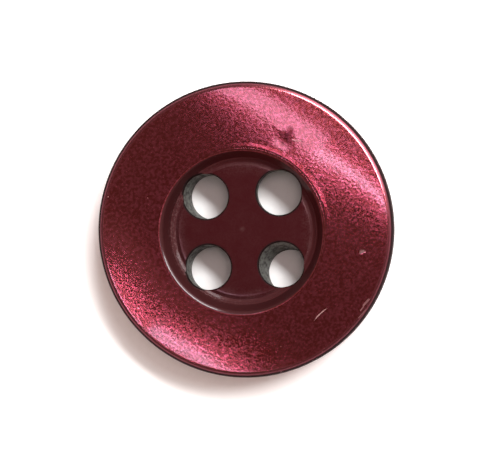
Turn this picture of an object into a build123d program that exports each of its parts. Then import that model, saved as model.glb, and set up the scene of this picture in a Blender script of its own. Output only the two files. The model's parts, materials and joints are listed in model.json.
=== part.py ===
"""A four-hole sew-through button, turned from one blank of pearl resin.

Millimetres. The origin is the middle of the flat seat under the button, +Z is up through its face,
and the thread holes stand on a square along X and Y.
"""

from build123d import *
from math import atan2, degrees, hypot, sqrt
import os

# Overall sizes: an 18 ligne button
button_diameter = 11.5
lip_height = 2.3

# Face: a low dome that falls from the lip of the well to the outer edge
face_radius = 26.5
face_edge_rounding = 0.2

# Back: a flat seat, then a curve that rises to the side
seat_diameter = 6.6
back_rise = 0.75
back_edge_rounding = 0.3

# Thread holes, with their edges broken on both sides
hole_diameter = 1.75
hole_pitch = 2.78
hole_edge_break = 0.06

# How far each drill had wandered from its mark when it broke through the back
left_back_wander = (0.19, -0.04)
right_back_wander = (-0.08, 0.0)
left_front_wander = (0.01, -0.22)
right_front_wander = (0.17, -0.25)

# Well in the face, turned a little off the middle of the outline, with its lip clear of the holes
well_centre_x = -0.07
well_centre_y = -0.05
well_depth = 0.7
well_wall_run = 0.32
well_foot_rounding = 0.08
hole_to_lip = 0.28
lip_rounding = 0.2

# Land round the well's floor, and the groove between the two
land_width = 0.12
land_height = 0.1
land_rounding = 0.05
groove_width = 0.19
groove_depth = 0.05

# Pit struck in the face
pit_from_middle = 4.1
pit_bearing = 61.5
pit_diameter = 0.34
pit_depth = 0.06

rim_radius = button_diameter / 2
seat_radius = seat_diameter / 2
hole_radius = hole_diameter / 2
mouth_radius = hole_radius + hole_edge_break
lip_radius = hole_pitch / sqrt(2) + mouth_radius + hole_to_lip
web_thickness = lip_height - well_depth
face_centre_height = lip_height - sqrt(face_radius**2 - lip_radius**2)
seam_bearing = degrees(atan2(well_centre_y, well_centre_x))


def face_height(radius):
    """Height of the domed face at a distance from the middle."""
    return face_centre_height + sqrt(face_radius**2 - radius**2)


def turned_blank():
    """The button before its well is cut: seat, curved back, plain side and domed face."""
    crown = (0, face_height(0))
    halfway = (rim_radius / 2, face_height(rim_radius / 2))
    face_edge = (rim_radius, face_height(rim_radius))
    back_edge = (rim_radius, back_rise)
    with BuildPart() as blank:
        with BuildSketch(Plane.XZ) as section:
            with BuildLine():
                seat = Line((0, 0), (seat_radius, 0))
                TangentArc(seat @ 1, back_edge, tangent=(1, 0))
                Line(back_edge, face_edge)
                ThreePointArc(face_edge, halfway, crown)
                Line(crown, (0, 0))
            make_face()
            fillet(section.vertices().sort_by_distance(face_edge)[0], face_edge_rounding)
            fillet(section.vertices().sort_by_distance(back_edge)[0], back_edge_rounding)
        revolve(axis=Axis.Z)
    return Rot(Z=seam_bearing) * blank.part


def well_cutter():
    """What the form tool takes out: floor, groove, land and sloping wall, turned about one axis."""
    foot_radius = lip_radius - well_wall_run
    step_radius = foot_radius - land_width
    floor_radius = step_radius - groove_width
    floor_height = web_thickness
    land_top = floor_height + land_height
    tool_top = face_height(0) + well_depth
    wall_slope = well_wall_run / (lip_height - land_top)
    top_radius = foot_radius + wall_slope * (tool_top - land_top)
    floor_edge = (floor_radius, floor_height)
    groove_bottom = (floor_radius + groove_width / 2, floor_height - groove_depth)
    step_foot = (step_radius, floor_height)
    step_edge = (step_radius, land_top)
    wall_foot = (foot_radius, land_top)
    with BuildPart() as cutter:
        with BuildSketch(Plane.XZ) as section:
            with BuildLine():
                Line((0, floor_height), floor_edge)
                ThreePointArc(floor_edge, groove_bottom, step_foot)
                Polyline(step_foot, step_edge, wall_foot, (top_radius, tool_top), (0, tool_top))
                Line((0, tool_top), (0, floor_height))
            make_face()
            fillet(section.vertices().sort_by_distance(step_edge)[0], land_rounding)
            fillet(section.vertices().sort_by_distance(wall_foot)[0], well_foot_rounding)
        revolve(axis=Axis.Z)
    return Pos(well_centre_x, well_centre_y, 0) * Rot(Z=seam_bearing) * cutter.part


def on_lip(edge):
    """Whether an edge of the body runs round the lip of the well."""
    middle = edge @ 0.5
    reach = hypot(middle.X - well_centre_x, middle.Y - well_centre_y)
    near_lip = abs(reach - lip_radius) < well_wall_run / 4
    return near_lip and middle.Z > lip_height - well_depth / 4


def thread_hole(column, row, wander):
    """One leaning thread hole, with its edges broken and the land cleared round its mouth."""
    mouth_x = well_centre_x + column * hole_pitch / 2
    mouth_y = well_centre_y + row * hole_pitch / 2
    mouth = Vector(mouth_x, mouth_y, web_thickness)
    exit_point = Vector(mouth_x + wander[0], mouth_y + wander[1], 0)
    along = (mouth - exit_point).normalized()
    bore_length = 2 * (mouth - exit_point).length
    bore = Plane((mouth + exit_point) / 2, z_dir=along) * Cylinder(hole_radius, bore_length)
    broken_edge = Cone(hole_radius - hole_edge_break, mouth_radius, 2 * hole_edge_break)
    mouth_break = Pos(0, 0, -hole_edge_break) * broken_edge
    mouth_clearance = Pos(0, 0, well_depth / 2) * Cylinder(mouth_radius, well_depth)
    exit_break = Pos(0, 0, hole_edge_break) * Rot(X=180) * broken_edge
    return bore + Pos(mouth) * (mouth_break + mouth_clearance) + Pos(exit_point) * exit_break


def thread_holes():
    """The four holes, on a square about the middle of the well."""
    return [
        thread_hole(-1, 1, left_back_wander),
        thread_hole(1, 1, right_back_wander),
        thread_hole(-1, -1, left_front_wander),
        thread_hole(1, -1, right_front_wander),
    ]


def struck_pit():
    """The ball that leaves the pit in the face."""
    ball_radius = (pit_diameter**2 / 4 + pit_depth**2) / (2 * pit_depth)
    ball_height = face_height(pit_from_middle) - pit_depth + ball_radius
    return Rot(Z=pit_bearing) * Pos(pit_from_middle, 0, ball_height) * Sphere(ball_radius)


def button():
    """The finished button: blank, well, rounded lip, thread holes and pit."""
    body = turned_blank() - well_cutter()
    body = fillet(body.edges().filter_by(on_lip), lip_rounding)
    for hole in thread_holes():
        body -= hole
    return body - struck_pit()


os.makedirs("parts", exist_ok=True)
export_step(button(), "parts/button.step")
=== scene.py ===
"""A burgundy pearl sew-through button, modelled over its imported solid.

Metres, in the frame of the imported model: the flat seat under the button rests on the floor at z = 0,
and its face looks up along +Z.
"""

import json
import logging
import math
from contextlib import contextmanager
from dataclasses import dataclass, field
from enum import Enum
from typing import Callable, Iterator
import bmesh
import bpy
from mathutils import Matrix, Vector

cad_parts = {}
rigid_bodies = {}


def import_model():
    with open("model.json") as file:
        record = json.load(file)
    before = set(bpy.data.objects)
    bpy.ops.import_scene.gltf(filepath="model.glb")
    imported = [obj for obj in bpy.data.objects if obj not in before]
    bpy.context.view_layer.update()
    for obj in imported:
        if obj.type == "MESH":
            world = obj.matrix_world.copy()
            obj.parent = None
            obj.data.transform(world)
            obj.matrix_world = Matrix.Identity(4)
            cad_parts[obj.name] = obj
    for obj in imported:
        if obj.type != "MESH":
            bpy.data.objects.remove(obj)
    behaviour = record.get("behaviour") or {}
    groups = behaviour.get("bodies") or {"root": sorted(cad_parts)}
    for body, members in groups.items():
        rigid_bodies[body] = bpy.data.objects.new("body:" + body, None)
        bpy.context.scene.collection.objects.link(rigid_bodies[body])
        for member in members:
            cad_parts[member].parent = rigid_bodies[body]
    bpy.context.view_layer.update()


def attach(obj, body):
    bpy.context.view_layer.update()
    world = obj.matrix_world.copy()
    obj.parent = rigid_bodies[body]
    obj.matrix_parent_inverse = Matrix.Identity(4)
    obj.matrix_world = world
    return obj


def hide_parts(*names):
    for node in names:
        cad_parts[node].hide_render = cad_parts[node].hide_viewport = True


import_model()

log = logging.getLogger("button")

MM = 0.001
UP = Vector((0.0, 0.0, 1.0))
FULL_TURN = 2 * math.pi
CLEAR_ABOVE = 5 * MM

Pair = tuple[float, float]
Colour = tuple[float, float, float]
Piece = bpy.types.Object
Finish = bpy.types.Material
Socket = bpy.types.NodeSocket


def mm(*lengths: float) -> tuple[float, ...]:
    """Turns lengths in millimetres into metres."""
    return tuple(length * MM for length in lengths)


def heading(bearing: float) -> Vector:
    """Level direction, given in degrees from +X, counter-clockwise from above."""
    return Vector((math.cos(math.radians(bearing)), math.sin(math.radians(bearing)), 0.0))


# Shaping: how a mesh is taken in hand, moved and cut


def take(obj: Piece) -> None:
    """Makes one object the only one selected, and the active one.

    Args:
        obj: the object.
    """
    bpy.ops.object.select_all(action="DESELECT")
    obj.select_set(True)
    bpy.context.view_layer.objects.active = obj


@contextmanager
def editing(obj: Piece) -> Iterator[None]:
    """Opens an object in edit mode with nothing selected, and closes it afterwards.

    Args:
        obj: the mesh object to shape.

    Yields:
        Nothing, while the object is open.
    """
    take(obj)
    bpy.ops.object.mode_set(mode="EDIT")
    bpy.ops.mesh.select_mode(type="VERT")
    bpy.ops.mesh.select_all(action="DESELECT")
    try:
        yield
    finally:
        bpy.ops.object.mode_set(mode="OBJECT")


def pick_points(obj: Piece, wanted: Callable[[Vector], bool]) -> None:
    """Selects the points of a mesh in edit mode by their place, and nothing else.

    Args:
        obj: the object in edit mode.
        wanted: tells from its place whether a point is selected.
    """
    bpy.ops.mesh.select_all(action="DESELECT")
    bpy.ops.mesh.select_mode(type="VERT")
    mesh = bmesh.from_edit_mesh(obj.data)
    for point in mesh.verts:
        point.select = wanted(point.co)
    mesh.select_flush(True)
    bmesh.update_edit_mesh(obj.data)


def pick_faces(obj: Piece, wanted: Callable[[Vector, Vector], bool]) -> None:
    """Selects the faces of a mesh in edit mode by their middle and normal, and nothing else.

    Args:
        obj: the object in edit mode.
        wanted: tells from a face's middle and its normal whether it is selected.
    """
    bpy.ops.mesh.select_all(action="DESELECT")
    bpy.ops.mesh.select_mode(type="FACE")
    mesh = bmesh.from_edit_mesh(obj.data)
    for face in mesh.faces:
        if wanted(face.calc_center_median(), face.normal):
            face.select_set(True)
    bmesh.update_edit_mesh(obj.data)


def named(obj: Piece, name: str) -> Piece:
    """Gives an object and its mesh the same name, and hands it back.

    Args:
        obj: the object.
        name: its new name.

    Returns:
        The object.
    """
    obj.name = name
    obj.data.name = name
    return obj


def settle(obj: Piece) -> None:
    """Puts an object's place, turn and size into its mesh, so that it sits at the origin."""
    take(obj)
    bpy.ops.object.transform_apply(location=True, rotation=True, scale=True)


def drag(move: Vector, reach: float, along_surface: bool = False) -> None:
    """Moves what is selected in edit mode, and what lies round it, less and less with the distance.

    Args:
        move: how far and which way, in metres.
        reach: how far off the move dies out.
        along_surface: whether the reach is only along the mesh.
    """
    bpy.ops.transform.translate(
        value=tuple(move),
        use_proportional_edit=True,
        use_proportional_connected=along_surface,
        proportional_edit_falloff="SMOOTH",
        proportional_size=reach,
    )


def cut_away(body: Piece, cutter: Piece) -> None:
    """Cuts one closed mesh out of another and throws the cutter away.

    Args:
        body: the mesh that is cut.
        cutter: the mesh that is taken out of it. Its finish is carried onto the new faces.
    """
    take(body)
    cut = body.modifiers.new("cut", "BOOLEAN")
    cut.operation = "DIFFERENCE"
    cut.solver = "EXACT"
    cut.material_mode = "TRANSFER"
    cut.object = cutter
    bpy.ops.object.modifier_apply(modifier=cut.name)
    bpy.data.objects.remove(cutter, do_unlink=True)


# The turned body


@dataclass(frozen=True)
class Rounding:
    """A corner of the section that is rounded between two straight runs, in metres."""

    before: Pair
    corner: Pair
    after: Pair
    radius: float

    def _runs(self) -> tuple[Vector, Vector]:
        """Directions into and out of the corner.

        Returns:
            The two directions.
        """
        arriving = (Vector(self.corner) - Vector(self.before)).normalized()
        leaving = (Vector(self.after) - Vector(self.corner)).normalized()
        return arriving, leaving

    def turn(self) -> float:
        """Angle through which the section turns here, in radians, positive to the left."""
        arriving, leaving = self._runs()
        return math.atan2(arriving.cross(leaving), arriving.dot(leaving))

    def start(self) -> Pair:
        """Point at which the rounding leaves the first run.

        Returns:
            Its radius and height.
        """
        arriving, _ = self._runs()
        setback = self.radius * math.tan(abs(self.turn()) / 2)
        return tuple(Vector(self.corner) - arriving * setback)

    def centre(self) -> Pair:
        """Middle of the rounding's arc.

        Returns:
            Its radius and height.
        """
        arriving, _ = self._runs()
        side = math.copysign(1.0, self.turn())
        inward = Vector((-arriving.y, arriving.x)) * side
        return tuple(Vector(self.start()) + inward * self.radius)


class SectionPen:
    """Draws half a section in the XZ plane, one extrusion or turn of its last point at a time."""

    def __init__(self, name: str, start: Pair) -> None:
        """Sets the pen down.

        Args:
            name: name of the object that is drawn.
            start: radius and height of the first point, in metres.
        """
        bpy.ops.object.select_all(action="DESELECT")
        bpy.ops.mesh.primitive_plane_add(size=MM, location=(0.0, 0.0, 0.0))
        self.obj = named(bpy.context.active_object, name)
        bpy.ops.object.mode_set(mode="EDIT")
        bpy.ops.mesh.select_mode(type="VERT")
        bpy.ops.mesh.select_all(action="SELECT")
        bpy.ops.mesh.merge(type="CENTER")
        bpy.ops.transform.translate(value=(start[0], 0.0, start[1]))
        self.at = start

    def line(self, end: Pair, steps: int = 1) -> "SectionPen":
        """Draws a straight run.

        Args:
            end: radius and height at which it ends.
            steps: number of equal pieces.

        Returns:
            The pen.
        """
        stride = ((end[0] - self.at[0]) / steps, 0.0, (end[1] - self.at[1]) / steps)
        for _ in range(steps):
            bpy.ops.mesh.extrude_region_move(TRANSFORM_OT_translate={"value": stride})
        self.at = end
        return self

    def arc(self, centre: Pair, turn: float, steps: int) -> "SectionPen":
        """Turns the last point about a centre.

        Args:
            centre: radius and height of the arc's middle.
            turn: angle in radians, positive from the radius towards the height.
            steps: number of equal pieces.

        Returns:
            The pen.
        """
        pivot = (centre[0], 0.0, centre[1])
        axis = (0.0, math.copysign(1.0, turn), 0.0)
        bpy.ops.mesh.spin(steps=steps, angle=abs(turn), center=pivot, axis=axis)
        across = self.at[0] - centre[0]
        above = self.at[1] - centre[1]
        cosine, sine = math.cos(turn), math.sin(turn)
        self.at = (
            centre[0] + across * cosine - above * sine,
            centre[1] + across * sine + above * cosine,
        )
        return self

    def round_off(self, rounding: Rounding, steps: int) -> "SectionPen":
        """Draws the run up to a rounded corner, and the rounding."""
        self.line(rounding.start())
        return self.arc(rounding.centre(), rounding.turn(), steps)

    def turned(self, steps: int) -> Piece:
        """Spins the finished section about +Z into a closed body.

        Args:
            steps: number of flats round the body.

        Returns:
            The body.
        """
        bpy.ops.mesh.select_all(action="SELECT")
        bpy.ops.mesh.spin(steps=steps, angle=FULL_TURN, center=(0.0, 0.0, 0.0), axis=tuple(UP))
        bpy.ops.mesh.select_all(action="SELECT")
        bpy.ops.mesh.remove_doubles(threshold=1e-6)
        bpy.ops.mesh.normals_make_consistent(inside=False)
        bpy.ops.object.mode_set(mode="OBJECT")
        return self.obj


@dataclass
class TurnedBody:
    """The button as it leaves the lathe: seat, curved back, side, domed face and stepped well."""

    rim_radius: float = 5.75 * MM
    seat_radius: float = 3.3 * MM
    back_rise: float = 0.75 * MM
    back_edge_rounding: float = 0.3 * MM
    face_radius: float = 26.5 * MM
    face_edge_rounding: float = 0.29 * MM
    lip_radius: float = 3.14 * MM
    lip_height: float = 2.3 * MM
    lip_rounding: float = 0.2 * MM
    foot_radius: float = 2.861 * MM
    foot_rounding: float = 0.06 * MM
    step_radius: float = 2.79 * MM
    land_top: float = 1.655 * MM
    land_rounding: float = 0.02 * MM
    floor_radius: float = 2.55 * MM
    floor_height: float = 1.6 * MM
    floor_edge_rounding: float = 0.03 * MM
    bead_rise: float = 0.02 * MM
    bead_run: float = 0.09 * MM
    groove_depth: float = 0.05 * MM
    lip_offset: Pair = mm(-0.075, -0.06)
    well_offset: Pair = mm(-0.07, -0.05)
    flats: int = 400

    def dome_centre(self) -> Pair:
        """Middle of the arc that the face follows."""
        return 0.0, self.lip_height - math.sqrt(self.face_radius**2 - self.lip_radius**2)

    def _draw_back(self, pen: SectionPen) -> None:
        """Draws the seat, the back's curve and the edge up to the side.

        Args:
            pen: the pen, set down in the middle of the seat.
        """
        run = self.rim_radius - self.seat_radius
        back_radius = (run**2 + self.back_rise**2) / (2 * self.back_rise)
        back_centre = (self.seat_radius, back_radius)
        reach = back_radius - self.back_edge_rounding
        across = run - self.back_edge_rounding
        edge_start = -math.acos(across / reach)
        edge_centre = (
            self.rim_radius - self.back_edge_rounding,
            back_radius + reach * math.sin(edge_start),
        )
        pen.line((self.seat_radius, 0.0), steps=8)
        pen.arc(back_centre, edge_start + math.pi / 2, steps=18)
        pen.arc(edge_centre, -edge_start, steps=8)

    def _draw_face(self, pen: SectionPen) -> None:
        """Draws the side, the face's outer edge and the dome, up to where the lip begins.

        Args:
            pen: the pen, at the foot of the side.
        """
        reach = self.face_radius - self.face_edge_rounding
        across = self.rim_radius - self.face_edge_rounding
        edge_turn = math.acos(across / reach)
        edge_height = self.dome_centre()[1] + reach * math.sin(edge_turn)
        pen.line((self.rim_radius, edge_height), steps=6)
        pen.arc((across, edge_height), edge_turn, steps=12)
        lip_start = self._lip().start()
        dome_turn = math.acos(lip_start[0] / self.face_radius) - edge_turn
        pen.arc(self.dome_centre(), dome_turn, steps=60)

    def _lip(self) -> Rounding:
        """The lip's rounding, between the face and the wall of the well.

        Returns:
            The rounding.
        """
        slope = self.lip_radius / math.sqrt(self.face_radius**2 - self.lip_radius**2)
        outside = (self.lip_radius + MM, self.lip_height - slope * MM)
        lip = (self.lip_radius, self.lip_height)
        foot = (self.foot_radius, self.land_top)
        return Rounding(outside, lip, foot, self.lip_rounding)

    def _draw_well(self, pen: SectionPen) -> None:
        """Draws the lip, the wall, the land with its step, the groove and the floor.

        Args:
            pen: the pen, where the lip begins.
        """
        lip = (self.lip_radius, self.lip_height)
        foot = (self.foot_radius, self.land_top)
        step_top = (self.step_radius, self.land_top)
        step_foot = (self.step_radius, self.floor_height)
        groove_middle = (self.step_radius + self.floor_radius) / 2
        groove_bottom = (groove_middle, self.floor_height - self.groove_depth)
        floor_edge = (self.floor_radius, self.floor_height + self.bead_rise)
        bead_foot = (self.floor_radius - self.bead_run, self.floor_height)
        middle = (0.0, self.floor_height)
        wall_foot = Rounding(lip, foot, step_top, self.foot_rounding)
        land_edge = Rounding(foot, step_top, step_foot, self.land_rounding)
        groove = Rounding(step_foot, groove_bottom, floor_edge, self.groove_depth)
        bead = Rounding(groove_bottom, floor_edge, bead_foot, self.floor_edge_rounding)
        pen.arc(self._lip().centre(), self._lip().turn(), steps=12)
        pen.line(wall_foot.start(), steps=14)
        pen.arc(wall_foot.centre(), wall_foot.turn(), steps=5)
        pen.round_off(land_edge, steps=5)
        pen.line(step_foot, steps=2)
        pen.round_off(groove, steps=5)
        pen.round_off(bead, steps=4)
        pen.line(bead_foot, steps=2)
        pen.line(middle, steps=14)

    def _offset_well(self, body: Piece) -> None:
        """Moves the well off the middle, and lets the face follow it out to its edge.

        Args:
            body: the turned body.
        """
        lip_start = self._lip().start()[0]
        face_run = self.rim_radius - self.face_edge_rounding - lip_start
        margin = 0.02 * MM

        def in_well(place: Vector) -> bool:
            """Whether a point lies in the well or on its lip."""
            return place.z > MM and math.hypot(place.x, place.y) < lip_start + margin

        def under_lip(place: Vector) -> bool:
            """Whether a point lies at the foot of the well's wall or on its floor."""
            return place.z > MM and math.hypot(place.x, place.y) < self.foot_radius + margin

        further = Vector(self.well_offset) - Vector(self.lip_offset)
        wall_run = math.hypot(self.lip_radius - self.foot_radius, self.lip_height - self.land_top)
        with editing(body):
            pick_points(body, under_lip)
            drag(Vector((*further, 0.0)), wall_run, along_surface=True)
            pick_points(body, in_well)
            drag(Vector((*self.lip_offset, 0.0)), face_run, along_surface=True)

    def build(self) -> Piece:
        """Turns the body.

        Returns:
            A closed mesh with no holes yet.
        """
        pen = SectionPen("burgundy_button", (0.0, 0.0))
        self._draw_back(pen)
        self._draw_face(pen)
        self._draw_well(pen)
        body = pen.turned(self.flats)
        self._offset_well(body)
        return body


# The drilled holes


@dataclass(frozen=True)
class ThreadHole:
    """One leaning thread hole with its edges rounded over at both ends."""

    mouth: Pair
    wander: Pair
    radius: float = 0.875 * MM
    edge_rounding: float = 0.06 * MM
    web: float = 1.6 * MM
    overshoot: float = 1.2 * MM
    sides: int = 128
    edge_steps: int = 6

    def _stations(self) -> list[Pair]:
        """Heights and radii of the drill's form, from below the seat up to above the face.

        Returns:
            A height and a radius for each station.
        """
        widest = self.radius + self.edge_rounding
        exit_run = []
        mouth_run = []
        for step in range(self.edge_steps + 1):
            turn = step / self.edge_steps * math.pi / 2
            flare = widest - self.edge_rounding * math.sin(turn)
            drop = self.edge_rounding * (1 - math.cos(turn))
            exit_run.append((drop, flare))
            mouth_run.append((self.web - drop, flare))
        below = [(-self.overshoot, widest)]
        above = [(self.web + self.overshoot, widest)]
        return below + exit_run + mouth_run[::-1] + above

    def cutter(self, finish: Finish) -> Piece:
        """Makes the drill's form.

        Args:
            finish: what the cut wall is dressed with.

        Returns:
            A closed mesh to be cut out of the body.
        """
        mouth = self.mouth
        stations = self._stations()
        first_height, first_radius = stations[0]
        foot = (mouth[0] + self.wander[0], mouth[1] + self.wander[1], first_height)
        bpy.ops.object.select_all(action="DESELECT")
        bpy.ops.mesh.primitive_circle_add(
            vertices=self.sides, radius=first_radius, fill_type="NGON", location=foot
        )
        drill = named(bpy.context.active_object, "drill")
        settle(drill)
        drill.data.materials.append(finish)
        with editing(drill):
            bpy.ops.mesh.select_all(action="SELECT")
            at = Vector(foot)
            radius = first_radius
            for height, wanted in stations[1:]:
                lean = 1.0 - min(max(height / self.web, 0.0), 1.0)
                place = Vector((mouth[0] + self.wander[0] * lean, mouth[1] + self.wander[1] * lean, height))
                bpy.ops.mesh.extrude_region_move(TRANSFORM_OT_translate={"value": tuple(place - at)})
                ratio = wanted / radius
                if abs(ratio - 1) > 1e-6:
                    bpy.ops.transform.resize(value=(ratio, ratio, 1.0), center_override=tuple(place))
                at = place
                radius = wanted
            bpy.ops.mesh.select_all(action="SELECT")
            bpy.ops.mesh.normals_make_consistent(inside=False)
        return drill


# Wear: the pit, the scratches, the nick and the scuffs on the face


def surface_at(body: Piece, x: float, y: float) -> Vector:
    """Finds the button's surface straight above a point.

    Args:
        body: the button.
        x: place across the button, in metres.
        y: place up the button, in metres.

    Returns:
        The highest point of the surface there.
    """
    hit, place, _, _ = body.ray_cast(Vector((x, y, CLEAR_ABOVE)), -UP)
    return place if hit else Vector((x, y, 0.0))


@dataclass(frozen=True)
class Press:
    """One push or pull on the face: where, how far up or down, and how wide it reaches."""

    places: tuple[Pair, ...]
    lift: float
    reach: float


@dataclass
class StruckPit:
    """The pit struck in the face, with the ridge that the blow pushed up beside it."""

    middle: Pair = mm(1.965, 3.665)
    worked_reach: float = 0.95 * MM
    searched_reach: float = 2.0 * MM
    above: float = 1.8 * MM
    facing_up: float = 0.9
    line_steps: int = 12
    presses: tuple[Press, ...] = (
        Press((mm(-0.40, -0.26), mm(-0.20, -0.34)), -0.007 * MM, 0.42 * MM),
        Press((mm(-0.26, -0.46), mm(-0.22, -0.58)), -0.002 * MM, 0.36 * MM),
        Press((mm(-0.60, 0.30), mm(-0.36, 0.04)), 0.002 * MM, 0.16 * MM),
    )

    def press_into(self, body: Piece) -> None:
        """Divides the face round the pit more finely, and works the pit and its ridges into it.

        Args:
            body: the button.
        """
        middle = Vector(self.middle)
        with editing(body):

            def near(place: Vector, normal: Vector) -> bool:
                """Whether a face lies on top of the button near the pit."""
                return normal.z > self.facing_up and (place.xy - middle).length < self.worked_reach

            pick_faces(body, near)
            bpy.ops.mesh.subdivide(number_cuts=2)
            for press in self.presses:
                self._press(body, press)

    def _press(self, body: Piece, press: Press) -> None:
        """Moves the points nearest to a press's places, and what surrounds them, up or down.

        Args:
            body: the button, in edit mode.
            press: the push or pull.
        """
        mesh = bmesh.from_edit_mesh(body.data)
        middle = Vector(self.middle)

        def in_reach(place: Vector) -> bool:
            """Whether a point lies on top of the button in reach of the pit."""
            return place.z > self.above and (place.xy - middle).length < self.searched_reach

        on_top = [point for point in mesh.verts if in_reach(point.co)]
        places = set()
        for start, end in zip(press.places, press.places[1:]):
            for step in range(self.line_steps + 1):
                spot = middle + Vector(start).lerp(Vector(end), step / self.line_steps)
                places.add(tuple(min(on_top, key=lambda point: (point.co.xy - spot).length).co))
        pick_points(body, lambda place: tuple(place) in places)
        drag(UP * press.lift, press.reach)


@dataclass(frozen=True)
class Scratch:
    """A scratch: a thin tapered groove along a slightly bent line."""

    start: Pair
    end: Pair
    width: float
    depth: float
    bow: float = 0.0
    pieces: int = 8
    keel: float = 0.05
    flare: float = 3.0
    least_fullness: float = 0.02

    def cutter(self, body: Piece, finish: Finish) -> Piece:
        """Makes the blade that leaves the scratch.

        Args:
            body: the button, whose surface the blade follows.
            finish: what the scratched faces are dressed with.

        Returns:
            A closed mesh to be cut out of the body.
        """
        start = Vector(self.start)
        run = Vector(self.end) - start
        across = Vector((-run.y, run.x)).normalized()
        bpy.ops.object.select_all(action="DESELECT")
        bpy.ops.mesh.primitive_cube_add(size=1.0, location=(0.5, 0.0, 0.0))
        blade = named(bpy.context.active_object, "blade")
        settle(blade)
        blade.data.materials.append(finish)
        with editing(blade):
            for cut in range(1, self.pieces):
                bpy.ops.mesh.select_all(action="SELECT")
                bpy.ops.mesh.bisect(plane_co=(cut / self.pieces, 0.0, 0.0), plane_no=(1.0, 0.0, 0.0))
            pick_points(blade, lambda place: place.z < 0)
            bpy.ops.transform.resize(value=(1.0, self.keel, 1.0))
        for point in blade.data.vertices:
            share = point.co.x
            swell = 1 - (2 * share - 1) ** 2
            fullness = math.sqrt(max(swell, self.least_fullness))
            along = start + run * share + across * self.bow * swell
            side = across * point.co.y * self.width * fullness
            ground = surface_at(body, along.x, along.y)
            on_top = point.co.z > 0
            lift = self.depth * 2 if on_top else -self.depth * fullness
            opened = self.flare if on_top else 1.0
            point.co = Vector((along.x + side.x * opened, along.y + side.y * opened, ground.z + lift))
        with editing(blade):
            bpy.ops.mesh.select_all(action="SELECT")
            bpy.ops.mesh.normals_make_consistent(inside=False)
        return blade


@dataclass(frozen=True)
class Nick:
    """A small nick, deep on one side like the mark of a fingernail."""

    place: Pair
    bearing: float
    radius: float = 0.17 * MM
    depth: float = 0.022 * MM
    lean: float = 22.0
    foot_share: float = 0.72
    mouth_share: float = 2.4
    top_facing: float = 0.9
    sides: int = 32

    def cutter(self, body: Piece, finish: Finish) -> Piece:
        """Makes the leaning punch that leaves the nick.

        Args:
            body: the button.
            finish: what the nick's wall is dressed with.

        Returns:
            A closed mesh to be cut out of the body.
        """
        ground = surface_at(body, *self.place)
        height = self.radius * 2
        bpy.ops.object.select_all(action="DESELECT")
        bpy.ops.mesh.primitive_cylinder_add(
            vertices=self.sides,
            radius=self.radius * self.foot_share,
            depth=height,
            location=(ground.x, ground.y, ground.z + height / 2 - self.depth / 2),
        )
        punch = named(bpy.context.active_object, "punch")
        punch.rotation_euler = (0.0, math.radians(self.lean), math.radians(self.bearing))
        punch.data.materials.append(finish)
        with editing(punch):
            pick_faces(punch, lambda place, normal: normal.z > self.top_facing)
            bpy.ops.transform.resize(value=(self.mouth_share, self.mouth_share, 1.0))
        settle(punch)
        return punch


# Finishes


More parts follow.
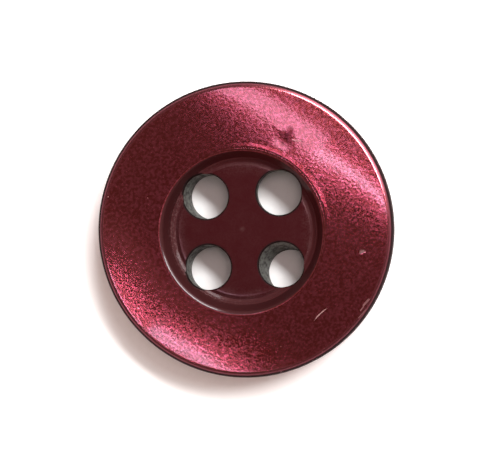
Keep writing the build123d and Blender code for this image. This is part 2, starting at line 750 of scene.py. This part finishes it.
class Bench:
    """Lays out the nodes of one material."""

    def __init__(self, name: str) -> None:
        """Starts a new material with one main shader.

        Args:
            name: the material's name.
        """
        self.material = bpy.data.materials.new(name)
        self.material.use_nodes = True
        self.tree = self.material.node_tree
        self.shader = self.tree.nodes["Principled BSDF"]
        self.place = self.add("ShaderNodeTexCoord").outputs["Object"]

    def add(self, kind: str, **settings: object) -> bpy.types.Node:
        """Adds a node, with its properties set by name.

        Args:
            kind: the node's type.
            **settings: its properties.

        Returns:
            The node.
        """
        node = self.tree.nodes.new(kind)
        for key, value in settings.items():
            setattr(node, key, value)
        return node

    def join(self, source: Socket, target: Socket) -> None:
        """Runs a link from one socket to another."""
        self.tree.links.new(source, target)

    def feed(self, socket: Socket, value: object) -> None:
        """Sets a socket, by a link where the value is one and else by hand.

        Args:
            socket: what is set.
            value: a socket, a number or a colour.
        """
        if isinstance(value, Socket):
            self.join(value, socket)
        else:
            socket.default_value = value

    def stretched(self, scale: tuple[float, ...]) -> Socket:
        """The place on the object, stretched along its axes.

        Args:
            scale: how much each axis is stretched.

        Returns:
            The stretched place.
        """
        mapping = self.add("ShaderNodeMapping")
        self.join(self.place, mapping.inputs["Vector"])
        mapping.inputs["Scale"].default_value = scale
        return mapping.outputs["Vector"]

    def noise(
        self,
        grain: float,
        detail: float = 2.0,
        rough: float = 0.5,
        bend: float = 0.0,
        place: Socket | None = None,
    ) -> Socket:
        """Cloudy noise.

        Args:
            grain: size of its patches, in metres.
            detail: octaves of finer patches.
            rough: weight of the finer patches.
            bend: how far the patches are pulled out of shape.
            place: coordinates to use instead of the object's own.

        Returns:
            Its value from 0 to 1.
        """
        node = self.add("ShaderNodeTexNoise")
        self.join(place or self.place, node.inputs["Vector"])
        node.inputs["Scale"].default_value = 1 / grain
        node.inputs["Detail"].default_value = detail
        node.inputs["Roughness"].default_value = rough
        node.inputs["Distortion"].default_value = bend
        return node.outputs["Fac"]

    def specks(self, spacing: float, size: float, share: float) -> Socket:
        """Scattered round specks.

        Args:
            spacing: mean distance between the places where a speck may be, in metres.
            size: radius of a speck, in metres.
            share: how many of the places have one.

        Returns:
            1 in a speck and 0 elsewhere.
        """
        cells = self.add("ShaderNodeTexVoronoi")
        self.join(self.place, cells.inputs["Vector"])
        cells.inputs["Scale"].default_value = 1 / spacing
        in_speck = self.ramp(cells.outputs["Distance"], size / spacing, size / spacing * 0.5)
        draw = self.add("ShaderNodeSeparateColor")
        self.join(cells.outputs["Color"], draw.inputs["Color"])
        chosen = self.math("LESS_THAN", draw.outputs["Red"], share)
        return self.math("MULTIPLY", in_speck, chosen)

    def ramp(
        self, value: Socket, low: float, high: float, to_low: float = 0.0, to_high: float = 1.0
    ) -> Socket:
        """Carries a value from one range to another, held at its ends.

        Args:
            value: what is carried over.
            low: where it starts.
            high: where it ends.
            to_low: result at the start.
            to_high: result at the end.

        Returns:
            The new value.
        """
        node = self.add("ShaderNodeMapRange", clamp=True)
        self.join(value, node.inputs["Value"])
        ends = {"From Min": low, "From Max": high, "To Min": to_low, "To Max": to_high}
        for socket, number in ends.items():
            node.inputs[socket].default_value = number
        return node.outputs["Result"]

    def math(self, operation: str, first: object, second: object) -> Socket:
        """One sum on two values or sockets.

        Args:
            operation: what is worked out.
            first: a number or a socket.
            second: a number or a socket.

        Returns:
            The result.
        """
        node = self.add("ShaderNodeMath", operation=operation)
        self.feed(node.inputs[0], first)
        self.feed(node.inputs[1], second)
        return node.outputs["Value"]

    def blend(self, share: object, first: object, second: object) -> Socket:
        """Mixes two colours.

        Args:
            share: how much of the second one shows.
            first: a colour or a socket.
            second: a colour or a socket.

        Returns:
            The mixed colour.
        """
        node = self.add("ShaderNodeMix", data_type="RGBA")
        self.feed(node.inputs["Factor"], share)
        self._colour(node, "A", first)
        self._colour(node, "B", second)
        return next(out for out in node.outputs if out.type == "RGBA")

    def _colour(self, node: bpy.types.Node, name: str, value: object) -> None:
        """Feeds the colour socket of that name on a mix node."""
        socket = next(s for s in node.inputs if s.name == name and s.type == "RGBA")
        self.feed(socket, value if isinstance(value, Socket) else (*value, 1.0))

    def mix_values(self, share: object, first: object, second: object) -> Socket:
        """Mixes two plain values, as blend does colours.

        Args:
            share: how much of the second one shows.
            first: a number or a socket.
            second: a number or a socket.

        Returns:
            The mixed value.
        """
        node = self.add("ShaderNodeMix", data_type="FLOAT")
        for socket, value in (("Factor", share), ("A", first), ("B", second)):
            self.feed(node.inputs[socket], value)
        return node.outputs["Result"]

    def bump(self, height: Socket, depth: float, under: Socket | None = None) -> Socket:
        """Raises and lowers the surface's shading.

        Args:
            height: the relief, from 0 to 1.
            depth: how deep a relief of 1 is, in metres.
            under: a bump that this one lies on.

        Returns:
            The bent normal.
        """
        node = self.add("ShaderNodeBump")
        self.join(height, node.inputs["Height"])
        node.inputs["Strength"].default_value = 1.0
        node.inputs["Distance"].default_value = depth
        if under is not None:
            self.join(under, node.inputs["Normal"])
        return node.outputs["Normal"]

    def away_from_axis(self, middle: Pair = (0.0, 0.0)) -> Socket:
        """Distance from an upright line, in metres.

        Args:
            middle: where the line stands.

        Returns:
            The distance.
        """
        flat = self.add("ShaderNodeVectorMath", operation="MULTIPLY_ADD")
        self.join(self.place, flat.inputs[0])
        flat.inputs[1].default_value = (1.0, 1.0, 0.0)
        flat.inputs[2].default_value = (-middle[0], -middle[1], 0.0)
        length = self.add("ShaderNodeVectorMath", operation="LENGTH")
        self.join(flat.outputs["Vector"], length.inputs[0])
        return length.outputs["Value"]

    def height(self) -> Socket:
        """Height above the seat, in metres.

        Returns:
            The height.
        """
        split = self.add("ShaderNodeSeparateXYZ")
        self.join(self.place, split.inputs["Vector"])
        return split.outputs["Z"]


@dataclass(frozen=True)
class PitShadePatch:
    """One patch of painted shade round the struck pit: its middle, how far it reaches and how strong it is.
    """

    middle: Pair
    reach: float
    strength: float


@dataclass(frozen=True)
class PearlResin:
    """Polished burgundy resin, full of fine pearl flakes that lie nearly flat in it.

    A pair of lengths is the range over which one look gives way to the next.
    """

    deep: Colour = (0.25, 0.030, 0.033)
    flake: Colour = (0.42, 0.070, 0.100)
    rim: Colour = (0.38, 0.10, 0.13)
    speck: Colour = (0.55, 0.28, 0.28)
    turned: Colour = (0.056, 0.006, 0.008)
    wall: Colour = (0.054, 0.006, 0.007)
    chip: Colour = (0.12, 0.05, 0.05)
    # Near-black side: painted shade for the dark outline round the button's edge.
    side: Colour = (0.02, 0.002, 0.003)
    # Painted shade: near-black for the hollow of the struck pit and the slope below it.
    pit_shade: Colour = (0.045, 0.004, 0.006)
    metallic: float = 0.86
    turned_metallic: float = 0.35
    speck_metallic: float = 0.2
    polish_share: Pair = (0.35, 0.65)
    smooth_flakes: float = 0.14
    rough_flakes: float = 0.18
    rim_roughness: float = 0.26
    pit_shade_roughness: float = 0.22
    side_roughness: float = 0.9
    turned_roughness: float = 0.25
    wall_roughness: float = 0.7
    gloss: float = 0.3
    coat: float = 0.8
    coat_roughness: float = 0.08
    floor_coat: float = 0.12
    rim_coat: float = 0.4
    worn_coat: float = 0.1
    grain: float = 0.10 * MM
    grain_depth: float = 0.0028 * MM
    coat_grain_depth: float = 0.0028 * 0.4 * MM
    drift: float = 2.6 * MM
    drift_depth: float = 0.005 * MM
    burr_depth: float = 0.0085 * MM
    flake_share: Pair = (0.42, 0.62)
    clump_share: Pair = (0.3, 0.75)
    clump_strength: float = 0.3
    speck_spacing: float = 0.55 * MM
    speck_radius: float = 0.028 * MM
    speck_share: float = 0.5
    rim_range: Pair = mm(5.5, 5.62)
    side_range: Pair = mm(5.60, 5.66)
    side_bareness: float = 0.8
    below_rim: Pair = mm(1.88, 1.82)
    wall_range: Pair = mm(2.56, 2.60)
    lip_height_range: Pair = mm(2.18, 2.24)
    face_range: Pair = mm(3.3, 3.5)
    lip_middle: Pair = mm(-0.075, -0.06)
    burr_fall: Pair = mm(3.46, 3.31)
    burr_middle: Pair = mm(2.1, 2.4)
    burr_reach: Pair = mm(3.0, 1.4)
    burr_grain: float = 0.3 * MM
    burr_waver: float = 0.08 * MM
    least_burr: float = 0.15
    polish_middle: Pair = mm(-0.14, -0.12)
    polish_edge: Pair = mm(3.21, 3.15)
    above_seat: Pair = mm(1.0, 1.1)
    well_middle: Pair = mm(-0.07, -0.05)
    dust_drift: float = 0.5 * MM
    dust_grain: float = 0.06 * MM
    dusty_range: Pair = mm(2.15, 2.55)
    least_dust: float = 0.25
    dust_share: Pair = (0.14, 0.42)
    dust_strength: float = 0.45
    wall_foot: Pair = mm(2.62, 2.70)
    below_lip: Pair = mm(2.96, 2.86)
    chip_grain: float = 0.08 * MM
    # Pale chips on the wall's left side, which faces the light: wear, with painted light in keeping them to
    # that side.
    lit_chipped_side: Pair = mm(-2.6, -0.5)
    chipped_reach: Pair = mm(3.6, 2.2)
    least_chips: float = 0.05
    chip_share: Pair = (0.48, 0.66)
    chip_strength: float = 0.7
    tool_mark: Pair = mm(-0.13, 0.03)
    tool_mark_reach: Pair = mm(0.14, 0.03)
    tool_mark_strength: float = 0.8
    above_back: Pair = mm(1.9, 2.0)
    pit_shade_grain: float = 0.26 * MM
    pit_shade_raggedness: float = 0.7
    pit_shade_fade: Pair = (0.75, -0.4)
    pit_shade_bared: Pair = (0.0, 0.6)
    # Patches of painted shade round the struck pit and its ridges.
    pit_patches: tuple[PitShadePatch, ...] = (
        PitShadePatch(mm(1.77, 3.57), 0.28 * MM, 1.0),
        PitShadePatch(mm(1.92, 3.68), 0.24 * MM, 0.95),
        PitShadePatch(mm(1.78, 3.40), 0.30 * MM, 0.75),
        PitShadePatch(mm(1.88, 3.20), 0.32 * MM, 0.4),
        PitShadePatch(mm(1.00, 4.02), 0.12 * MM, 0.6),
    )

    def material(self) -> Finish:
        """Lays out the resin's nodes.

        Returns:
            The finish.
        """
        bench = Bench("pearl_resin")
        shader = bench.shader
        flakes = bench.noise(self.grain, detail=1.0, rough=0.5, bend=0.3)
        from_middle = bench.away_from_axis()
        at_rim = bench.ramp(from_middle, *self.rim_range)
        below_rim = bench.ramp(bench.height(), *self.below_rim)
        # The outer side below the face's edge: a duller finish there, and painted shade in its colour.
        at_side = bench.math("MULTIPLY", bench.ramp(from_middle, *self.side_range), below_rim)
        in_well = self._in_well(bench)
        # Mask of the painted shade in and below the struck pit.
        in_pit_shade = self._pit_shade(bench)
        in_speck = bench.specks(self.speck_spacing, self.speck_radius, self.speck_share)

        body = bench.blend(bench.ramp(flakes, *self.flake_share), self.deep, self.flake)
        clumps = bench.ramp(bench.noise(self.grain * 5), *self.clump_share, 0.0, self.clump_strength)
        colour = bench.blend(clumps, body, self.deep)
        for share, tone in (
            (at_rim, self.rim),
            # The side's near-black colour is painted shade for the dark outline round the edge.
            (at_side, self.side),
            (in_pit_shade, self.pit_shade),
            (in_well, self._tooled(bench)),
            (in_speck, self.speck),
        ):
            colour = bench.blend(share, colour, tone)
        bench.join(colour, shader.inputs["Base Color"])

        polish = bench.noise(self.grain * 1.3, detail=0.0)
        roughness = bench.ramp(polish, *self.polish_share, self.smooth_flakes, self.rough_flakes)
        on_wall = bench.ramp(bench.away_from_axis(self.well_middle), *self.wall_range)
        for share, dulled in (
            (at_rim, self.rim_roughness),
            (in_pit_shade, self.pit_shade_roughness),
            (at_side, self.side_roughness),
            (in_well, bench.mix_values(on_wall, self.turned_roughness, self.wall_roughness)),
        ):
            roughness = bench.mix_values(share, roughness, dulled)
        bench.join(roughness, shader.inputs["Roughness"])

        off_layers = bench.math("MAXIMUM", in_well, bench.math("MULTIPLY", at_side, self.side_bareness))
        layered = bench.mix_values(off_layers, self.metallic, self.turned_metallic)
        metallic = bench.mix_values(in_speck, layered, self.speck_metallic)
        bench.join(metallic, shader.inputs["Metallic"])

        drift = bench.bump(bench.noise(self.drift, detail=0.0), self.drift_depth)
        broad = bench.bump(self._burr(bench), self.burr_depth, drift)
        bench.join(bench.bump(flakes, self.grain_depth, broad), shader.inputs["Normal"])
        bench.join(bench.bump(flakes, self.coat_grain_depth), shader.inputs["Coat Normal"])

        shader.inputs["Specular IOR Level"].default_value = self.gloss
        shader.inputs["Coat Roughness"].default_value = self.coat_roughness
        on_lip = bench.ramp(bench.height(), *self.lip_height_range, self.floor_coat, 1.0)
        polished = bench.math("MAXIMUM", on_lip, bench.ramp(from_middle, *self.face_range))
        worn = bench.math("MAXIMUM", at_side, bench.math("MULTIPLY", in_well, self.worn_coat))
        for share in (
            bench.ramp(in_pit_shade, *self.pit_shade_bared, 1.0, 0.0),
            bench.mix_values(worn, self.coat, self.coat * self.worn_coat),
            bench.mix_values(at_rim, 1.0, self.rim_coat),
        ):
            polished = bench.math("MULTIPLY", polished, share)
        bench.join(polished, shader.inputs["Coat Weight"])
        return bench.material

    def _burr(self, bench: Bench) -> Socket:
        """The ragged burr that the form tool pushed up round the lip, from 0 to 1.

        Args:
            bench: the resin's bench.

        Returns:
            The height of the burr.
        """
        wavering = bench.math("MULTIPLY", bench.noise(self.burr_grain), self.burr_waver)
        away = bench.math("ADD", bench.away_from_axis(self.lip_middle), wavering)
        rise = bench.ramp(away, *self.burr_fall)
        where = bench.ramp(bench.away_from_axis(self.burr_middle), *self.burr_reach, self.least_burr)
        return bench.math("MULTIPLY", rise, where)

    def _in_well(self, bench: Bench) -> Socket:
        """Where the form tool took the polish off: the well, up to the top of its lip."""
        inside = bench.ramp(bench.away_from_axis(self.polish_middle), *self.polish_edge)
        return bench.math("MULTIPLY", inside, bench.ramp(bench.height(), *self.above_seat))

    def _tooled(self, bench: Bench) -> Socket:
        """Colour of the well: dark on its floor, dusty towards the groove and chipped on its wall, with the
        pale chips kept to its left side, where the light falls, as painted light.

        Args:
            bench: the resin's bench.

        Returns:
            The colour.
        """
        from_well = bench.away_from_axis(self.well_middle)
        drifts = bench.noise(self.dust_drift, detail=3.0)
        dust = bench.math("MULTIPLY", drifts, bench.noise(self.dust_grain, detail=1.0))
        settled = bench.ramp(from_well, *self.dusty_range, self.least_dust)
        dusty = bench.ramp(dust, *self.dust_share, 0.0, self.dust_strength)
        floor = bench.blend(bench.math("MULTIPLY", dusty, settled), self.turned, self.chip)
        chips = bench.noise(self.chip_grain, detail=1.0, rough=0.6)
        from_mark = bench.away_from_axis(self.tool_mark)
        near_mark = bench.ramp(from_mark, *self.tool_mark_reach, 0.0, self.tool_mark_strength)
        marked = bench.blend(bench.math("MULTIPLY", near_mark, chips), floor, self.chip)
        # The chips are wear; keeping the pale chips to the left side of the wall, which faces the light, is
        # painted light.
        on_lit_left = bench.ramp(bench.away_from_axis(self.lit_chipped_side), *self.chipped_reach, self.least_chips)
        chipping = bench.math("MULTIPLY", on_lit_left, bench.ramp(from_well, *self.below_lip))
        chip = bench.ramp(chips, *self.chip_share, 0.0, self.chip_strength)
        chipped = bench.blend(bench.math("MULTIPLY", chip, chipping), self.wall, self.chip)
        return bench.blend(bench.ramp(from_well, *self.wall_foot), marked, chipped)

    def _pit_shade(self, bench: Bench) -> Socket:
        """Painted shade in and below the struck pit: ragged dark patches that fade away below it.

        Args:
            bench: the resin's bench.

        Returns:
            How strong the painted shade is, from 0 to 1.
        """
        ragged = bench.noise(self.pit_shade_grain, detail=1.0)
        pit_shaded = 0.0
        for patch in self.pit_patches:
            away = bench.away_from_axis(patch.middle)
            frayed = bench.math("MULTIPLY", ragged, patch.reach * self.pit_shade_raggedness)
            uneven = bench.math("SUBTRACT", away, frayed)
            outer, inner = (patch.reach * fade for fade in self.pit_shade_fade)
            share = bench.ramp(uneven, outer, inner, 0.0, patch.strength)
            pit_shaded = bench.math("MAXIMUM", pit_shaded, share)
        return bench.math("MULTIPLY", pit_shaded, bench.ramp(bench.height(), *self.above_back))


@dataclass(frozen=True)
class DrilledWall:
    """The dull grey-green wall that the drill left in the thread holes."""

    dark: Colour = (0.035, 0.032, 0.029)
    light: Colour = (0.17, 0.17, 0.15)
    grain: float = 0.16 * MM
    upright_stretch: float = 0.45
    light_share: Pair = (0.34, 0.62)
    roughness: float = 0.8
    light_roughness: float = 0.6
    depth: float = 0.02 * MM

    def material(self) -> Finish:
        """Lays out the drilled wall's nodes.

        Returns:
            The finish.
        """
        bench = Bench("drilled_wall")
        place = bench.stretched((1.0, 1.0, self.upright_stretch))
        chatter = bench.noise(self.grain, detail=3.0, rough=0.65, place=place)
        colour = bench.blend(bench.ramp(chatter, *self.light_share), self.dark, self.light)
        bench.join(colour, bench.shader.inputs["Base Color"])
        roughness = bench.ramp(chatter, 0.3, 0.7, self.roughness, self.light_roughness)
        bench.join(roughness, bench.shader.inputs["Roughness"])
        bench.join(bench.bump(chatter, self.depth), bench.shader.inputs["Normal"])
        return bench.material


@dataclass(frozen=True)
class ScuffedAndPaintedLightResin:
    """Resin that looks pale and dull where something has scraped the polish off; the same finish also
    dresses the painted ridge highlight beside the pit and the painted shade at the hole ends.
    """

    name: str
    pale: Colour
    deep: Colour = (0.10, 0.03, 0.03)
    roughness: float = 0.5
    gloss: float = 0.5
    pale_roughness: float = 0.75
    grit: float = 0.05 * MM
    grit_depth: float = 0.004 * MM

    def material(self) -> Finish:
        """Lays out the scuffed resin's nodes.

        Returns:
            The finish.
        """
        bench = Bench(self.name)
        grit = bench.noise(self.grit)
        colour = bench.blend(bench.ramp(grit, 0.3, 0.6), self.deep, self.pale)
        bench.join(colour, bench.shader.inputs["Base Color"])
        roughness = bench.ramp(grit, 0.3, 0.7, self.roughness, self.pale_roughness)
        bench.join(roughness, bench.shader.inputs["Roughness"])
        bench.join(bench.bump(grit, self.grit_depth), bench.shader.inputs["Normal"])
        bench.shader.inputs["Specular IOR Level"].default_value = self.gloss
        return bench.material


@dataclass(frozen=True)
class PlainPaper:
    """Matt white paper with a very faint tooth."""

    colour: Colour = (0.94, 0.935, 0.93)
    shade: Colour = (0.91, 0.905, 0.90)
    shadow_middle: Pair = mm(-1.0, -1.1)
    shadow_fade: Pair = mm(4.9, 6.2)
    whiteness: float = 0.5
    tooth: float = 0.25 * MM
    tooth_depth: float = 0.004 * MM
    roughness: float = 0.95
    gloss: float = 0.1

    def material(self) -> Finish:
        """Lays out the paper's nodes.

        Returns:
            The finish.
        """
        bench = Bench("plain_paper")
        tooth = bench.noise(self.tooth, detail=3.0)
        colour = bench.blend(bench.ramp(tooth, 0.3, 0.7), self.shade, self.colour)
        bench.join(colour, bench.shader.inputs["Base Color"])
        bench.shader.inputs["Roughness"].default_value = self.roughness
        bench.shader.inputs["Specular IOR Level"].default_value = self.gloss
        bench.join(bench.bump(tooth, self.tooth_depth), bench.shader.inputs["Normal"])
        self._whiten(bench)
        return bench.material

    def _whiten(self, bench: Bench) -> None:
        """Lets the paper beyond the button's shadow show as plain white.

        Args:
            bench: the paper's bench.
        """
        rays = bench.add("ShaderNodeLightPath")
        seen = bench.math("MAXIMUM", rays.outputs["Is Camera Ray"], rays.outputs["Is Glossy Ray"])
        shown = bench.math("MAXIMUM", seen, rays.outputs["Is Transmission Ray"])
        clear = bench.ramp(bench.away_from_axis(self.shadow_middle), *self.shadow_fade, 0.0, self.whiteness)
        bench.join(bench.math("MULTIPLY", shown, clear), bench.shader.inputs["Emission Strength"])
        bench.shader.inputs["Emission Color"].default_value = (1.0, 1.0, 1.0, 1.0)


# The button


@dataclass
class SewThroughButton:
    """The whole button: turned, drilled, worn and dressed."""

    turned: TurnedBody = field(default_factory=TurnedBody)
    holes: tuple[ThreadHole, ...] = (
        ThreadHole(mm(-1.507, 1.352), mm(0.19, -0.04)),
        ThreadHole(mm(1.359, 1.375), mm(-0.08, 0.0)),
        ThreadHole(mm(-1.511, -1.401), mm(0.06, -0.11)),
        ThreadHole(mm(1.320, -1.413), mm(0.28, -0.33)),
    )
    rounded_rim: float = 1.54 * MM
    facing_down: float = -0.2
    smooth_below: float = 32.0
    pit: StruckPit = field(default_factory=StruckPit)
    resin: PearlResin = PearlResin()
    drilled: DrilledWall = DrilledWall()
    scraped: ScuffedAndPaintedLightResin = ScuffedAndPaintedLightResin("scraped_resin", (0.42, 0.24, 0.23))
    rubbed: ScuffedAndPaintedLightResin = ScuffedAndPaintedLightResin("rubbed_resin", (0.17, 0.055, 0.055))
    # Pale pink for the ridge beside the pit: a painted highlight.
    ridge_highlight: ScuffedAndPaintedLightResin = ScuffedAndPaintedLightResin("painted_ridge_highlight", (0.52, 0.18, 0.22), (0.38, 0.10, 0.13), 0.4)
    # Near-black on the holes' rounded ends: painted shade for the dark rings round the hole mouths.
    hole_edge_shade: ScuffedAndPaintedLightResin = ScuffedAndPaintedLightResin(
        "hole_edge_painted_shade", (0.016, 0.005, 0.005), (0.006, 0.002, 0.002), 0.6, 0.1
    )

    def _drill(self, body: Piece) -> None:
        """Drills the four thread holes.

        Args:
            body: the turned body.
        """
        finish = self.drilled.material()
        for hole in self.holes:
            cut_away(body, hole.cutter(finish))
        # The drilled faces at the holes' rounded ends get a near-black finish: painted shade.
        edge_slot = len(body.data.materials)
        body.data.materials.append(self.hole_edge_shade.material())
        with editing(body):
            mesh = bmesh.from_edit_mesh(body.data)
            drilled = {face.calc_center_median().freeze() for face in mesh.faces if face.material_index}

            def on_edge(place: Vector, normal: Vector) -> bool:
                """Whether a face lies in the rounded edge at one of a hole's ends, which is dressed in
                painted shade.
                """
                at_end = place.z > self.rounded_rim or normal.z < self.facing_down
                return at_end and place.freeze() in drilled

            pick_faces(body, on_edge)
            body.active_material_index = edge_slot
            bpy.ops.object.material_slot_assign()

    def _wear(self, body: Piece) -> None:
        """Cuts the scratch, the nick and the scuffs into the face, and the groove beside the pit that
        carries the painted ridge highlight.

        Args:
            body: the drilled body.
        """
        scraped = self.scraped.material()
        rubbed = self.rubbed.material()
        long_scratch = Scratch(mm(2.518, -3.666), mm(3.091, -3.160), 0.04 * MM, 0.012 * MM, 0.03 * MM)
        scuffs = (
            Scratch(mm(4.44, -3.19), mm(4.74, -2.87), 0.06 * MM, 0.006 * MM),
            Scratch(mm(4.25, -3.63), mm(4.58, -3.26), 0.06 * MM, 0.006 * MM),
            Scratch(mm(4.33, -3.36), mm(4.50, -3.15), 0.04 * MM, 0.004 * MM),
        )
        edge_nick = Scratch(mm(5.17, -2.79), mm(5.12, -2.63), 0.03 * MM, 0.008 * MM)
        nick = Nick(mm(4.54, -1.05), bearing=90.0)
        for mark in (long_scratch, edge_nick):
            cut_away(body, mark.cutter(body, scraped))
        for mark in (*scuffs, nick):
            cut_away(body, mark.cutter(body, rubbed))
        # A shallow groove beside the pit, dressed pale pink: a painted highlight along the ridge that the
        # blow pushed up.
        beside_pit = Scratch(mm(1.96, 3.44), mm(2.38, 3.34), 0.05 * MM, 0.003 * MM, -0.03 * MM)
        cut_away(body, beside_pit.cutter(body, self.ridge_highlight.material()))

    def build(self) -> Piece:
        """Makes the button and hands it over to the frame.

        Returns:
            The finished piece.
        """
        body = self.turned.build()
        body.data.materials.append(self.resin.material())
        log.info("turned body: %d faces", len(body.data.polygons))
        self._drill(body)
        log.info("thread holes drilled: %d faces", len(body.data.polygons))
        self.pit.press_into(body)
        self._wear(body)
        log.info("wear worked in: %d faces", len(body.data.polygons))
        take(body)
        bpy.ops.object.shade_smooth_by_angle(angle=math.radians(self.smooth_below))
        weigh = body.modifiers.new("even_shading", "WEIGHTED_NORMAL")
        weigh.keep_sharp = True
        bpy.ops.object.modifier_apply(modifier=weigh.name)
        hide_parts("button")
        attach(body, "root")
        return body


# Floor, light and camera


@dataclass
class PaperFloor:
    """The pale floor under the button."""

    reach: float = 1.5
    finish: PlainPaper = PlainPaper()

    def build(self) -> Piece:
        """Lays the floor at z = 0.

        Returns:
            The floor.
        """
        bpy.ops.object.select_all(action="DESELECT")
        bpy.ops.mesh.primitive_plane_add(size=2 * self.reach, location=(0.0, 0.0, 0.0))
        floor = named(bpy.context.active_object, "pale_floor")
        floor.data.materials.append(self.finish.material())
        return floor


class LampUse(Enum):
    """What a lamp is hung for."""

    FULL = "lights the button and shows in its gloss"
    MIRRORED = "a card that only shows in the gloss"
    SOFT = "fills the shadows and doesn't show in the gloss"


COOL = (0.95, 0.87, 1.22)
BLUSH = (1.0, 0.84, 0.87)
WARM = (1.0, 0.78, 0.74)
MAUVE = (1.0, 0.76, 0.74)


@dataclass(frozen=True)
class SoftLamp:
    """A soft lamp over the button.

    Its place is given in the picture: how far right and up it stands for each metre of height.
    """

    name: str
    right: float
    up: float
    length: float
    width: float
    bearing: float
    power: float
    use: LampUse = LampUse.FULL
    colour: Colour = (1.0, 1.0, 1.0)
    height: float = 0.45

    def hang(self, picture_turn: float) -> Piece:
        """Hangs the lamp.

        Args:
            picture_turn: degrees from +X to the right of the picture.

        Returns:
            The lamp.
        """
        turn = Matrix.Rotation(math.radians(picture_turn), 3, "Z")
        place = turn @ Vector((self.right * self.height, self.up * self.height, self.height))
        bpy.ops.object.select_all(action="DESELECT")
        bpy.ops.object.light_add(type="AREA", location=tuple(place))
        lamp = bpy.context.active_object
        lamp.name = self.name
        lamp.data.shape = "RECTANGLE"
        lamp.data.size = self.length
        lamp.data.size_y = self.width
        lamp.data.energy = self.power
        lamp.data.color = self.colour
        lamp.visible_camera = False
        lamp.visible_glossy = self.use is not LampUse.SOFT
        lamp.visible_diffuse = self.use is not LampUse.MIRRORED
        down = place.normalized()
        along = turn @ heading(self.bearing)
        along = (along - down * along.dot(down)).normalized()
        axes = Matrix((along, down.cross(along), down)).transposed()
        lamp.matrix_world = Matrix.Translation(place) @ axes.to_4x4()
        return lamp


@dataclass
class Studio:
    """Plain studio light: a long key lamp, cards for the gloss, two soft fills and a pale room."""

    picture_turn: float = -2.5
    lamps: tuple[SoftLamp, ...] = (
        SoftLamp("key_lamp", 0.45, 0.536, 0.33, 0.085, 140.0, 2.9, height=0.42),
        SoftLamp("upper_right_card", 0.2935, 0.1555, 0.16, 0.012, 149.0, 0.072, LampUse.MIRRORED, COOL),
        SoftLamp("upper_left_card", -0.025, 0.410, 0.22, 0.035, 141.0, 0.108, LampUse.MIRRORED, COOL),
        SoftLamp("lower_left_card", -0.588, -0.268, 0.125, 0.010, 130.0, 0.084, LampUse.MIRRORED, COOL),
        SoftLamp("lower_right_card", -0.262, -0.462, 0.19, 0.010, 152.0, 0.076, LampUse.MIRRORED, COOL),
        SoftLamp("lower_glow", -0.44, -0.32, 0.62, 0.16, 141.0, 0.036, LampUse.MIRRORED, WARM),
        SoftLamp("rim_card", 0.90, 1.07, 0.46, 0.30, 140.0, 1.7, LampUse.MIRRORED, BLUSH, height=0.28),
        SoftLamp("low_fill", -1.1, -1.3, 0.6, 0.4, 140.0, 2.4, LampUse.SOFT, WARM, height=0.30),
        SoftLamp("top_fill", 0.10, 0.12, 0.16, 0.16, 0.0, 0.42, LampUse.SOFT, MAUVE),
    )
    low_light: float = 0.075
    top_light: float = 0.04
    tint: Colour = (1.0, 0.94, 0.60)
    horizon: Colour = (1.0, 1.0, 1.0)
    horizon_fade: Pair = (0.07, 0.09)
    overhead_fade: Pair = (0.84, 0.93)

    def _room(self) -> None:
        """Lights the room: white at the horizon, softer above it and dim overhead."""
        world = bpy.data.worlds.new("room")
        bpy.context.scene.world = world
        world.use_nodes = True
        tree = world.node_tree
        sky = tree.nodes["Background"]
        place = tree.nodes.new("ShaderNodeTexCoord")
        split = tree.nodes.new("ShaderNodeSeparateXYZ")
        tree.links.new(place.outputs["Generated"], split.inputs["Vector"])
        ramp = tree.nodes.new("ShaderNodeValToRGB")
        tree.links.new(split.outputs["Z"], ramp.inputs["Fac"])
        tree.links.new(ramp.outputs["Color"], sky.inputs["Color"])
        low = tuple(self.low_light * part for part in self.tint)
        top = tuple(self.top_light * part for part in self.tint)
        white_to, low_from = self.horizon_fade
        low_to, top_from = self.overhead_fade
        horizon = self.horizon
        stops = ((0.0, horizon), (white_to, horizon), (low_from, low), (low_to, low), (top_from, top))
        for at, _ in stops[2:]:
            ramp.color_ramp.elements.new(at)
        for element, (at, colour) in zip(ramp.color_ramp.elements, stops):
            element.position = at
            element.color = (*colour, 1.0)

    def light(self) -> None:
        """Hangs the lamps and lights the room."""
        self._room()
        for lamp in self.lamps:
            lamp.hang(self.picture_turn)


@dataclass
class PictureCamera:
    """The camera, above the button and a little to the right."""

    distance: float = 150 * MM
    tilt: float = 5.0
    picture_turn: float = -2.5
    lens: float = 277.7
    sensor: float = 36.0
    aim_right: float = 0.142 * MM
    aim_up: float = 0.039 * MM
    aim_height: float = 1.3 * MM

    def place(self) -> Piece:
        """Places the camera and makes it the scene's own.

        Returns:
            The camera.
        """
        right = heading(self.picture_turn)
        up = UP.cross(right)
        aim = right * self.aim_right + up * self.aim_up + UP * self.aim_height
        tilt = math.radians(self.tilt)
        back = right * math.sin(tilt) + UP * math.cos(tilt)
        across = up.cross(back)
        bpy.ops.object.select_all(action="DESELECT")
        bpy.ops.object.camera_add()
        camera = bpy.context.active_object
        camera.name = "picture_camera"
        axes = Matrix((across, up, back)).transposed()
        camera.matrix_world = Matrix.Translation(aim + back * self.distance) @ axes.to_4x4()
        camera.data.lens = self.lens
        camera.data.sensor_width = self.sensor
        camera.data.clip_start = 10 * MM
        camera.data.clip_end = 10.0
        bpy.context.scene.camera = camera
        return camera


def main() -> None:
    """Builds the button, its floor, the light and the camera, and reports each."""
    logging.basicConfig(level=logging.INFO, format="%(name)s: %(message)s")
    scene = bpy.context.scene
    scene.view_settings.view_transform = "Standard"
    PictureCamera().place()
    log.info("camera placed")
    button = SewThroughButton().build()
    log.info("%s finished: %d faces", button.name, len(button.data.polygons))
    PaperFloor().build()
    log.info("floor laid")
    Studio().light()
    log.info("lamps hung")


if __name__ == "__main__":
    main()
